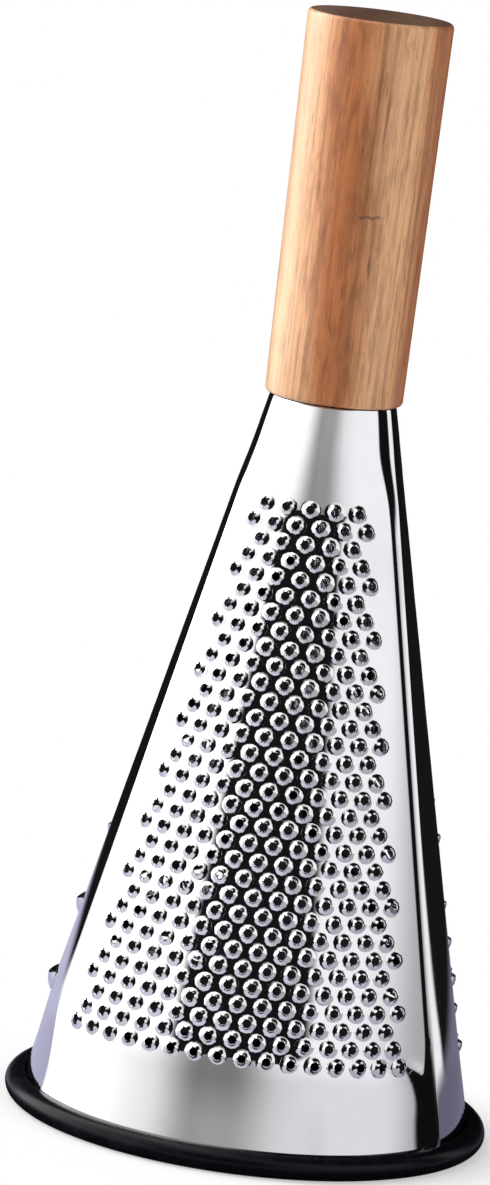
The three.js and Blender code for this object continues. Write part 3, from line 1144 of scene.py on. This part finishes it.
    def _thick(self, places: list[Pair], triangles: list[tuple[int, ...]]) -> Shell:
        """Gives the flat sheet its shape, its thickness and its normals.

        Args:
            places: Distance across and height of each point.
            triangles: Point numbers, anticlockwise seen from outside.

        Returns:
            The closed shell.
        """
        outside = [self.cone.place(*place) for place in places]
        normals = [self.cone.normal(*place) for place in places]
        inside = [point - normal * self.cone.sheet for point, normal in zip(outside, normals)]
        count = len(places)
        shell = Shell(outside + inside)
        used = {(t[at], t[(at + 1) % 3]) for t in triangles for at in range(3)}
        for a, b, c in triangles:
            shell.faces += [(a, b, c), (c + count, b + count, a + count)]
            shell.normals += [normals[at] for at in (a, b, c)]
            shell.normals += [-normals[at] for at in (c, b, a)]
        for a, b in used:
            if (b, a) not in used:
                shell.faces.append((b, a, a + count, b + count))
                out = (outside[b] - outside[a]).cross(normals[a]).normalized()
                shell.normals += [out] * 4
        return shell


# Turned pieces


@dataclass(frozen=True)
class FootRing:
    """Rubber ring round the lower rim of the cone."""

    cone: Cone = Cone()
    radius: float = 52.5
    height: float = 5.3
    inner_lip: float = 1.6
    lip_drop: float = 0.9
    edge: float = 0.6
    lip_edge: float = 0.35
    clear: float = 0.25
    edge_steps: int = 4
    side_steps: int = 14
    lip_steps: int = 3
    sides: int = 128

    def build(self, finish: Finish) -> list[bpy.types.Object]:
        """Makes the ring.

        Args:
            finish: Finish of the rubber.

        Returns:
            The ring.
        """
        cone = self.cone
        wall = cone.sheet * math.hypot(1, cone.slope())
        floor = cone.low - cone.sheet * cone.slope() - self.clear
        low_top = self.height - self.lip_drop

        def inner(z: float) -> float:
            """Inner wall of the groove."""
            return cone.radius(z) - wall - self.clear

        bore = inner(low_top) - self.inner_lip
        half = self.height / 2
        lip = cone.radius(self.height) + self.clear + self.lip_edge
        lip_middle = (lip, self.height - self.lip_edge)
        profile = [
            *rounded((bore + self.edge, self.edge), self.edge, 180, 270, self.edge_steps),
            *rounded((self.radius - half, half), half, -90, 90, self.side_steps),
            *rounded(lip_middle, self.lip_edge, 90, 180, self.lip_steps),
            (cone.radius(floor) + self.clear, floor),
            (inner(floor), floor),
            (inner(low_top), low_top),
            (bore, low_top),
        ]
        ring = turned(profile, self.sides, closed=True).to_object("foot_ring_rubber")
        ring.data.materials.append(finish.material())
        return [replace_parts(ring, "foot_ring")]


@dataclass(frozen=True)
class Handle:
    """Turned wooden handle with eased ends and a blind bore."""

    low: float = 158.9
    length: float = 82.2
    low_radius: float = 14.8
    high_radius: float = 15.6
    edge: float = 1.0
    bore: float = 2.5
    bore_depth: float = 26.0
    point: float = 4.0
    tip_clear: float = 0.3
    wall_steps: int = 12
    edge_steps: int = 6
    crease: float = 50.0
    sides: int = 96

    def build(self, finish: Finish) -> list[bpy.types.Object]:
        """Makes the handle.

        Args:
            finish: Finish of the wood.

        Returns:
            The handle.
        """
        high = self.low + self.length
        end = self.low + self.bore_depth
        wider = self.high_radius - self.low_radius
        walls = [
            (self.low_radius + wider * share, self.low + self.length * share)
            for share in spread(0.0, 1.0, self.wall_steps)[1:-1]
        ]
        edge, steps = self.edge, self.edge_steps
        profile = [
            (0.0, end + self.tip_clear),
            (self.bore, end - self.point),
            (self.bore, self.low),
            *rounded((self.low_radius - edge, self.low + edge), edge, -90, 0, steps),
            *walls,
            *rounded((self.high_radius - edge, high - edge), edge, 0, 90, steps),
            (0.0, high),
        ]
        handle = turned(profile, self.sides).to_object("handle_wood", crease=self.crease)
        handle.data.materials.append(finish.material())
        return [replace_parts(handle, "handle")]


@dataclass(frozen=True)
class NeckHardware:
    """Pressed cap, washer and screw that hold the handle on the cone."""

    cone: Cone = Cone()
    cap_sheet: float = 0.8
    cap_skirt: float = 7.0
    cap_bend: float = 1.6
    bend_steps: int = 6
    inside_steps: int = 4
    washer_radius: float = 6.0
    washer_sheet: float = 1.0
    washer_edge: float = 0.2
    screw_radius: float = 2.2
    thread_start: float = 1.0
    thread_pitch: float = 1.4
    thread_depth: float = 0.35
    head_radius: float = 4.2
    head_height: float = 2.6
    dome_steps: int = 8
    grip: float = 26.0
    point: float = 4.0
    clear: float = 0.3
    cross_start: float = 1.0
    cross_arm: float = 2.31
    cross_width: float = 1.0
    cross_taper: float = 0.7
    cross_depth: float = 1.5
    cross_turn: float = 17.0
    sides: int = 64

    def build(self, finish: Finish) -> list[bpy.types.Object]:
        """Makes the cap, the washer and the screw.

        Args:
            finish: Finish of the hardware.

        Returns:
            The three pieces.
        """
        pieces = [self._cap(), self._washer(), self._screw()]
        for piece in pieces:
            piece.data.materials.append(finish.material())
        return pieces

    def _cap(self) -> bpy.types.Object:
        """Makes the pressed cap with its bent edge."""
        cone = self.cone
        wall = cone.sheet * math.hypot(1, cone.slope()) + self.clear
        top, low = cone.high, cone.high - self.cap_skirt
        under = top - self.cap_sheet

        def outer(z: float) -> float:
            """Outside of the skirt."""
            return cone.radius(z) - wall

        bend = (outer(top - self.cap_bend) - self.cap_bend, top - self.cap_bend)
        hole = self.screw_radius + self.clear
        inside = self.cap_bend - self.cap_sheet
        profile = [
            (outer(low) - self.cap_sheet, low),
            (outer(low), low),
            *rounded(bend, self.cap_bend, 0, 90, self.bend_steps),
            (hole, top),
            (hole, under),
            *rounded(bend, inside, 90, 0, self.inside_steps),
        ]
        cap = turned(profile, self.sides, closed=True).to_object("neck_cap_plate")
        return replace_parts(cap, "neck_cap")

    def _seat(self) -> float:
        """Height of the washer's upper side."""
        return self.cone.high - self.cap_sheet - self.clear

    def _washer(self) -> bpy.types.Object:
        """Makes the washer with eased edges."""
        high, radius, edge = self._seat(), self.washer_radius, self.washer_edge
        low = high - self.washer_sheet
        hole = self.screw_radius + self.clear
        profile = [
            (hole, low),
            (radius - edge, low),
            (radius, low + edge),
            (radius, high - edge),
            (radius - edge, high),
            (hole, high),
        ]
        washer = turned(profile, self.sides, closed=True).to_object("screw_washer_plate")
        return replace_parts(washer, "screw_washer")

    def _screw(self) -> bpy.types.Object:
        """Makes the screw with a thread, a domed head and a cross recess."""
        seat = self._seat() - self.washer_sheet - self.clear
        tip = self.cone.high + self.clear + self.grip
        arc = rounded((0.0, 0.0), 1.0, -90, 0, self.dome_steps)[1:]
        dome = [(self.head_radius * x, seat + self.head_height * y) for x, y in arc]
        thread = []
        start, stop = self.cone.high + self.clear + self.thread_start, tip - self.point
        turns = round((stop - start) / self.thread_pitch)
        for at, height in enumerate(spread(start, stop, turns * 2)):
            depth = 0.0 if at % 2 else self.thread_depth
            thread.append((self.screw_radius - depth, height))
        low = seat - self.head_height
        profile = [(0.0, low), *dome, (self.screw_radius, seat), *thread, (0.0, tip)]
        screw = turned(profile, self.sides).to_object("handle_screw_plate")
        self._recess(screw, low)
        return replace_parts(screw, "handle_screw")

    def _recess(self, screw: bpy.types.Object, low: float) -> None:
        """Cuts the cross into the screw's head.

        Args:
            screw: The screw.
            low: Height of the head's lowest point.
        """
        arm, half = self.cross_arm, self.cross_width / 2
        quarter = [(arm, -half), (arm, half), (half, half)]
        turns = [Matrix.Rotation(math.radians(self.cross_turn + 90 * at), 2) for at in range(4)]
        outline = [turn @ Vector(corner) for turn in turns for corner in quarter]
        count = len(outline)
        shell = Shell()
        ends = ((low - self.cross_start, 1.0), (low + self.cross_depth, self.cross_taper))
        for z, size in ends:
            shell.points += [(corner * size).to_3d() + Vector((0, 0, z)) for corner in outline]
        shell.faces = [tuple(reversed(range(count))), tuple(range(count, 2 * count))]
        for at in range(count):
            after = (at + 1) % count
            shell.faces.append((at, after, count + after, count + at))
        block = shell.to_object("cross")
        modifier = screw.modifiers.new("cross", "BOOLEAN")
        modifier.operation = "DIFFERENCE"
        modifier.solver = "EXACT"
        modifier.object = block
        settle(screw)
        screw.data.set_sharp_from_angle(angle=math.radians(CREASE))
        bpy.data.objects.remove(block)


# The studio


@dataclass(frozen=True)
class Lamp:
    """A soft box lamp, placed by its bearing from the camera's side."""

    name: str
    bearing: float
    rise: float
    distance: float
    size: Pair
    power: float


@dataclass(frozen=True)
class Studio:
    """Pale floor, soft boxes with dark gaps between them, lamps and the camera.

    The ends of the boxes are degrees of bearing or rise, as seen from the object. A bearing
    counts from the camera's side, to the right. A third value is the softness of both ends.
    """

    camera_turn: float = 5.8
    camera_back: float = 1.41906
    camera_height: float = 0.36466
    yaw: float = -0.551
    pitch: float = -9.992
    roll: float = 7.059
    lens: float = 204.06
    sensor: float = 36.0
    clip: Pair = (0.05, 60.0)
    aim: Triple = (0.0, 0.0, 0.11)
    joint: Pair = (-30.0, 10.0)
    left_start: Pair = (-138.5, -133.5)
    left_top: Pair = (70.0, 85.0)
    left_fade: Pair = (-110.0, -70.0)
    right_stop: Pair = (90.0, 94.0)
    right_slope: float = 0.42
    right_top: Pair = (46.0, 64.0)
    right_foot: Pair = (5.0, 10.0)
    strip: Triple = (117.0, 129.6, 3.0)
    strip_top: Pair = (30.0, 45.0)
    strip_level: float = 0.95
    gap: Triple = (-42.0, 25.0, 6.0)
    gap_top: Pair = (33.0, 35.0)
    haze_wide: Triple = (-59.0, 14.0, 60.0)
    haze_core: Triple = (-42.0, 5.0, 30.0)
    haze_foot: Pair = (20.0, 36.0)
    haze_top: Pair = (38.0, 58.0)
    above_foot: Pair = (60.0, 70.0)
    above_stop: Pair = (-70.0, 50.0)
    floor_boxes: Pair = (-136.0, 92.0)
    floor_radii: tuple[float, ...] = (8000.0, 2000.0, 400.0, 0.0)
    floor_sides: int = 96
    lamps: tuple[Lamp, ...] = (
        Lamp("left_box", -80, 20, 1.4, (0.5, 0.9), 11.5),
        Lamp("right_box", 70, 15, 1.5, (0.5, 0.9), 6),
    )

    def build(self) -> None:
        """Makes the floor, the world, the lamps and the camera."""
        self._floor()
        self._world()
        for lamp in self.lamps:
            self._lamp(lamp)
        self._camera()

    def _camera(self) -> None:
        """Makes the camera with the photograph's view."""
        yaw, pitch, roll = (math.radians(angle) for angle in (self.yaw, self.pitch, self.roll))
        around = Matrix.Rotation(math.radians(self.camera_turn), 3, "Z")
        flat = Vector((math.sin(yaw), math.cos(yaw), 0)) * math.cos(pitch)
        ahead = flat + Vector((0, 0, math.sin(pitch)))
        right = Vector((math.cos(yaw), -math.sin(yaw), 0))
        above = right.cross(ahead)
        tilted = right * math.cos(roll) + above * math.sin(roll)
        upright = above * math.cos(roll) - right * math.sin(roll)
        turn = around @ Matrix((tilted, upright, -ahead)).transposed()
        place = around @ Vector((0, -self.camera_back, self.camera_height))
        data = bpy.data.cameras.new("camera")
        data.lens = self.lens
        data.sensor_width = self.sensor
        data.clip_start, data.clip_end = self.clip
        camera = bpy.data.objects.new("camera", data)
        camera.matrix_world = Matrix.LocRotScale(place, turn.to_quaternion(), None)
        bpy.context.scene.collection.objects.link(camera)
        bpy.context.scene.camera = camera

    def _lamp(self, lamp: Lamp) -> None:
        """Adds one lamp that lights without showing in the steel.

        Args:
            lamp: The lamp's place, size and power.
        """
        data = bpy.data.lights.new(lamp.name, "AREA")
        data.shape = "RECTANGLE"
        data.size, data.size_y = lamp.size
        data.energy = lamp.power
        made = bpy.data.objects.new(lamp.name, data)
        bearing = math.radians(lamp.bearing + self.camera_turn)
        rise = math.radians(lamp.rise)
        flat = Vector((math.sin(bearing), -math.cos(bearing), 0)) * math.cos(rise)
        out = flat + Vector((0, 0, math.sin(rise)))
        made.location = Vector(self.aim) + out * lamp.distance
        made.rotation_mode = "QUATERNION"
        made.rotation_quaternion = out.to_track_quat("Z", "Y")
        made.visible_glossy = False
        bpy.context.scene.collection.objects.link(made)

    def _world(self) -> None:
        """Makes a white background, and the soft boxes that light the object and show in it."""
        world = bpy.data.worlds.new("studio")
        bpy.context.scene.world = world
        world.use_nodes = True
        graph = Graph(world.node_tree)
        way = graph.wire("ShaderNodeTexCoord", None, None, "Generated")
        right, away, up = graph.axes(graph.spun(way, -self.camera_turn))
        bearing = graph.math("ARCTAN2", right, -away) * math.degrees(1)
        rise = graph.math("ARCSINE", up) * math.degrees(1)
        joint = bearing.rise(*self.joint)
        left_box = bearing.rise(*self.left_start) * (1 - joint) * (1 - rise.rise(*self.left_top))
        left_box = left_box * ((1 - bearing.rise(*self.left_fade)) * 1.6 + 1.4)
        sloped = rise + (bearing - 20) * self.right_slope
        right_box = joint * (1 - bearing.rise(*self.right_stop))
        right_box = right_box * (1 - sloped.rise(*self.right_top))
        right_box = right_box * (rise.rise(*self.right_foot) * 0.53 + 0.45)
        strip = bearing.band(*self.strip) * (1 - rise.rise(*self.strip_top)) * self.strip_level
        gap = bearing.band(*self.gap) * (1 - rise.rise(*self.gap_top)) * 0.998
        haze = bearing.band(*self.haze_wide) * 0.4 + bearing.band(*self.haze_core) * 0.44
        haze = haze * rise.rise(*self.haze_foot) * (1 - rise.rise(*self.haze_top))
        dark = graph.math("MAXIMUM", gap, haze)
        above = rise.rise(*self.above_foot) * (1 - bearing.rise(*self.above_stop)) * 0.9
        light = (left_box + right_box + strip) * (1 - dark) + above + 0.006
        tint = graph.mix(bearing.rise(0, 30), grey(1.0), (0.975, 0.97, 1.0, 1))
        shown = graph.wire("ShaderNodeLightPath", None, None, "Is Camera Ray")
        scaled = {"Vector": tint, "Scale": light}
        colour = graph.wire("ShaderNodeVectorMath", {"operation": "SCALE"}, scaled)
        studio = graph.node("ShaderNodeBackground", None, {"Color": colour})
        plain = graph.node("ShaderNodeBackground", None, {"Color": grey(1.0)})
        graph.end("ShaderNodeOutputWorld", shown, studio, plain)

    def _floor(self) -> None:
        """Makes the round floor: white for the camera, with the object's shadow near its foot; for
        glossy rays it glows with painted reflections of the soft boxes and painted shadow round
        the object.
        """
        shell = turned([(radius, 0.0) for radius in self.floor_radii], self.floor_sides)
        floor = shell.to_object("floor")
        material = bpy.data.materials.new("pale_floor")
        material.use_nodes = True
        graph = Graph(material.node_tree)
        place = graph.wire("ShaderNodeTexCoord", None, None, "Object")
        across, away, _ = graph.axes(graph.spun(place, -self.camera_turn))
        bearing = graph.math("ARCTAN2", across, -away) * math.degrees(1)
        length = {"operation": "LENGTH"}
        far = graph.wire("ShaderNodeVectorMath", length, {"Vector": place}, "Value")
        path = graph.node("ShaderNodeLightPath")
        camera = Wire(graph, path.outputs["Is Camera Ray"])
        glossy = Wire(graph, path.outputs["Is Glossy Ray"])
        # Share of the painted shadow round the object, out to about 0.3 m.
        near = 1 - (far + across.rise(0.0, 0.1) * 0.05).rise(0.22, 0.36)
        (start, stop), (left, right, soft) = self.floor_boxes, self.gap
        boxes = bearing.band(start, left, soft) + bearing.band(right, stop, soft) * 0.45
        # Painted reflection: far off, the floor glows in the shape of the soft boxes for glossy
        # rays.
        painted_box_reflection = boxes + bearing.band(*self.strip) * self.strip_level + 0.008
        # Painted shadow: round the object the floor glows lavender in front and dark behind, as
        # seen in the steel.
        before = graph.mix(across.rise(-0.02, 0.06), (0.66, 0.65, 0.75, 1), (0.46, 0.44, 0.53, 1))
        painted_dark_behind = graph.mix(across.rise(-0.05, 0.08), (0.52, 0.52, 0.70, 1), (0.16, 0.155, 0.22, 1))
        painted_floor_shadow = graph.mix(away.rise(-0.03, 0.0), before, painted_dark_behind)
        around = graph.mix(near, painted_box_reflection, painted_floor_shadow)
        # Painted contact shadow: close round the foot the floor glows near black for glossy rays.
        seen = graph.mix(far.rise(0.058, 0.066), grey(0.012), around)
        colour = graph.mix(camera, seen, grey(1.0))
        # Glows white for the camera, and with the painted reflections and painted shadow for
        # glossy rays.
        backdrop_and_painted_reflection = graph.node("ShaderNodeEmission", None, {"Color": colour})
        plain = graph.node("ShaderNodeBsdfDiffuse", None, {"Color": grey(0.86)})
        share = graph.math("MAXIMUM", glossy, camera * far.rise(0.03, 0.075))
        graph.end("ShaderNodeOutputMaterial", share, plain, backdrop_and_painted_reflection)
        floor.data.materials.append(material)


# The whole grater


@dataclass(frozen=True)
class ConeGrater:
    """All the pieces of the grater with their finishes."""

    steel: PolishedSteel = PolishedSteel()
    rubber: BlackRubber = BlackRubber()
    wood: OiledWood = OiledWood()
    plate: BrightPlate = BrightPlate()
    faces: tuple[GratingFace, ...] = (
        GratingFace(
            "fine_face",
            "fine_face_nubs",
            0.0,
            Pattern(32, 5.12, 3.675, 137.1, 5.9, Nub()),
            11,
            cone=Cone(
                right_edge=((0.0, 61.5), (0.5, 59.0), (1.2, 53.0)),
                right_round=((17.0, 0.5), (19.0, 0.55), (21.5, 0.8), (23.2, 1.3), (25.4, 0.0)),
                round_slant=0.75,
                foot_lean=13.0,
                neck_lean=13.0,
                neck_turn=-6.0,
            ),
        ),
        GratingFace(
            "medium_face",
            "medium_face_teeth",
            math.radians(120),
            Pattern(12, 7.3, 7.36, 103.5, 23.5, Hood(3.8, 2.7, 0.9, 0.9)),
            12,
            cone=Cone(
                left_edge=((-0.4, 63.0), (0.0, 55.5), (1.9, 54.0), (2.1, 51.6)),
                left_round=((0.0, 0.0), (1.0, 0.0)),
                left_shift=5.2,
                left_taper=0.8,
            ),
        ),
        GratingFace(
            "coarse_face",
            "coarse_face_hoods",
            math.radians(-120),
            Pattern(5, 14.0, 16.1, 92.3, 15.8, Hood(10.0, 5.0, 1.6, 1.7)),
            13,
            cone=Cone(right_edge=((0.0, 52.5), (1.2, 51.6))),
        ),
    )

    def build(self) -> None:
        """Builds every piece and hangs it on the body."""
        tree = FieldTree()
        for face in self.faces:
            self._keep(face.build(tree, self.steel), Slot.STEEL)
        self._keep(FootRing().build(self.rubber), Slot.RUBBER)
        self._keep(Handle().build(self.wood), Slot.WOOD)
        self._keep(NeckHardware().build(self.plate), Slot.PLATED)

    @staticmethod
    def _keep(pieces: Sequence[bpy.types.Object], slot: Slot) -> None:
        """Hangs pieces on the body and reports them.

        Args:
            pieces: Finished pieces.
            slot: Not used.
        """
        for piece in pieces:
            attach(piece, BODY)
            LOG.info("%s: %d faces", piece.name, len(piece.data.polygons))


def main() -> None:
    """Loads the frame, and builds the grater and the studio."""
    logging.basicConfig(level=logging.INFO, format="%(message)s")
    scene = bpy.context.scene
    for left in list(scene.objects):
        bpy.data.objects.remove(left)
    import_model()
    ConeGrater().build()
    Studio().build()
    scene.view_settings.view_transform = "Standard"


if __name__ == "__main__":
    main()
